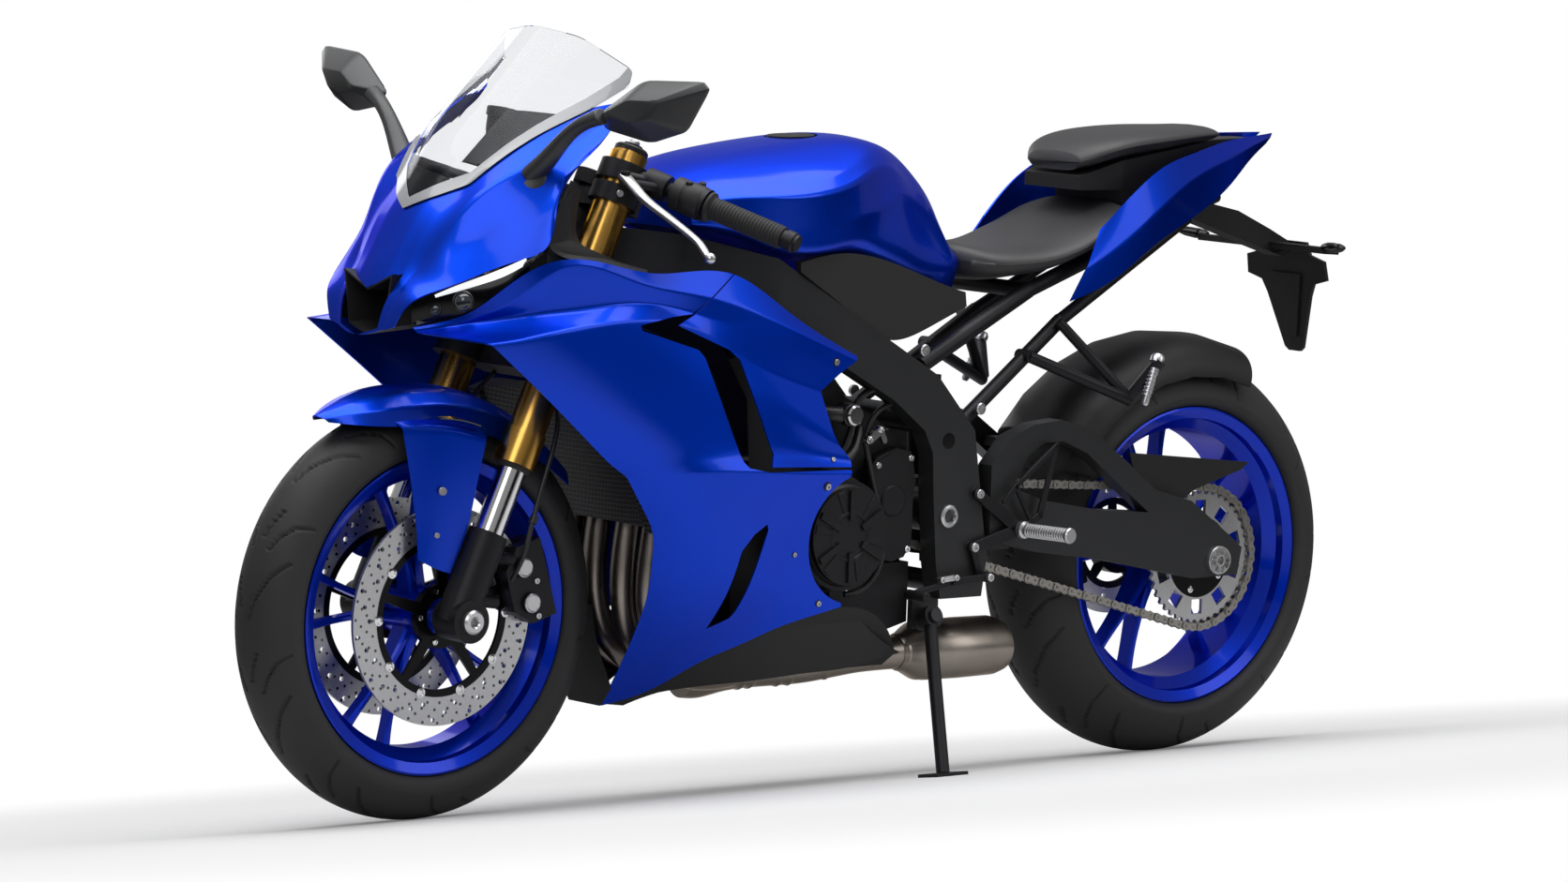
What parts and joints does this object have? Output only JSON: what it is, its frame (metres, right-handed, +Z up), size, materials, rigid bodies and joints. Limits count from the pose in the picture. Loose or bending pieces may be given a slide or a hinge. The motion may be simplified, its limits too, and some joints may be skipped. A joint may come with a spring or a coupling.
{
  "type": "sport bike",
  "caption": "Sport bike with full blue bodywork, forked-spoke wheels, gold fork and underslung silencer, leaning on its side stand.",
  "frame": {"origin": "middle of the whole object's footprint, on the ground", "axes": "+X forward, +Y to the rider's left, +Z up; the bike leans to its left"},
  "size_m": [2.055, 0.881, 1.1359],
  "materials": {
    "tyre": "rubber",
    "wheel_blue": "gloss metallic blue",
    "steel": "brushed",
    "gold": "gold anodised",
    "bright_steel": "polished",
    "black_metal": "satin black",
    "aluminium": "satin",
    "rubber": "matt",
    "body_blue": "gloss metallic blue",
    "frame_grey": "matt dark grey",
    "black_plastic": "matt",
    "titanium": "heat tinted",
    "seat": "grained black",
    "red_lens": "red lens",
    "lamp": "smoked lens",
    "screen": "clear"
  },
  "bodies": {
    "root": {"frame_main": "frame_grey", "subframe": "black_metal", "swingarm": "frame_grey", "rear_axle": "aluminium", "rear_caliper": "black_metal", "shock": "black_metal", "chain": "steel", "chain_guard": "black_plastic", "hugger": "black_plastic", "engine_block": "black_metal", "engine_covers": "black_metal", "radiator": "black_metal", "exhaust_pipes": "titanium", "silencer": "titanium", "rearsets": "black_metal", "passenger_pegs": "black_metal", "fuel_tank": "body_blue", "knee_pads": "rubber", "rider_seat": "seat", "passenger_seat": "seat", "tail_cowls": "body_blue", "tail_center": "black_plastic", "tail_lamp": "red_lens", "plate_bracket": "black_plastic", "nose_cowl": "body_blue", "headlamps": "lamp", "intake": "black_plastic", "windscreen": "screen", "instrument_panel": "black_plastic", "fairing_stay": "black_metal", "mirrors": "black_plastic", "inner_panels": "black_plastic", "side_fairings": "body_blue", "side_vanes": "body_blue", "belly_pan": "black_plastic"},
    "steering": {"fork_tubes": "gold", "fork_inner_tubes": "bright_steel", "fork_bottoms": "black_metal", "front_axle": "aluminium", "front_calipers": "black_metal", "fork_clamps": "black_metal", "handlebars": "black_metal", "grips": "rubber", "levers": "aluminium", "front_mudguard": "body_blue"},
    "front_wheel": {"front_tyre": "tyre", "front_rim": "wheel_blue", "front_discs": "steel"},
    "rear_wheel": {"rear_tyre": "tyre", "rear_rim": "wheel_blue", "rear_disc": "steel", "rear_sprocket": "steel"},
    "side_stand": {"side_stand": "black_metal"},
    "fuel_cap": {"fuel_cap": "black_metal"}
  },
  "joints": [
    {"name": "steering", "type": "hinge", "parent": "root", "child": "steering", "pos_m": [0.50455, -0.05094, 0.73717], "axis": [-0.4067, 0.1429, 0.9023], "range_deg": [-24, 24]},
    {"name": "front_wheel_spin", "type": "hinge", "parent": "steering", "child": "front_wheel", "pos_m": [0.7275, -0.12061, 0.29727], "axis": [0, 0.9877, -0.1564], "continuous": true},
    {"name": "rear_wheel_spin", "type": "hinge", "parent": "root", "child": "rear_wheel", "pos_m": [-0.7125, -0.11826, 0.31209], "axis": [0, 0.9877, -0.1564], "continuous": true},
    {"name": "side_stand", "type": "hinge", "parent": "root", "child": "side_stand", "pos_m": [-0.1265, 0.01718, 0.23394], "axis": [0, 0.9842, 0.1771], "range_deg": [0, 100]},
    {"name": "fuel_cap", "type": "hinge", "parent": "root", "child": "fuel_cap", "pos_m": [0.0895, -0.01549, 0.961], "axis": [0, 0.9877, -0.1564], "range_deg": [0, 95]}
  ]
}
